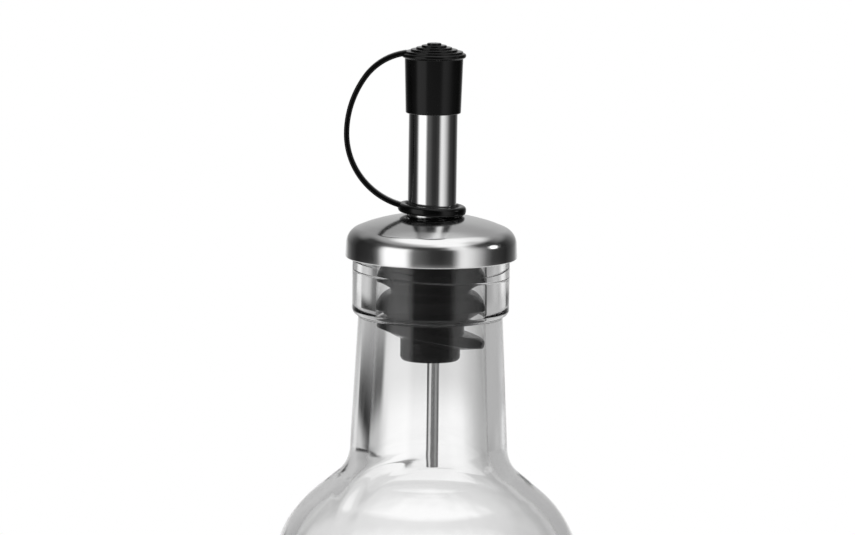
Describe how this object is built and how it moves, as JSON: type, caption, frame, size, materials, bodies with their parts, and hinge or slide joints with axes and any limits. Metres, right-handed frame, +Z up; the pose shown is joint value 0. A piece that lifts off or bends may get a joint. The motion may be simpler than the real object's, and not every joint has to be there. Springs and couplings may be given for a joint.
{
  "type": "oil bottle",
  "caption": "Tall clear glass oil bottle with a steel cap plate, a steel spout in a finned black stopper, and a black cap tethered to the spout by a strap and ring.",
  "frame": {"origin": "middle of the bottle's base, on the surface that it stands on", "axes": "+Z up the bottle's axis; the cap's strap is on the -X side; -Y is the side that faces the viewer"},
  "size_m": [0.062, 0.062, 0.2986],
  "materials": {
    "clear_glass": "clear, smooth and colourless",
    "polished_steel": "polished stainless steel",
    "black_rubber": "satin black soft plastic",
    "black_plastic": "semi-gloss black moulded plastic"
  },
  "bodies": {
    "root": {"bottle": "clear_glass", "dome_cap": "polished_steel", "spout_tube": "polished_steel", "air_tube": "polished_steel", "stopper_head": "black_rubber", "stopper": "black_rubber", "pour_cap": "black_plastic"}
  },
  "joints": []
}
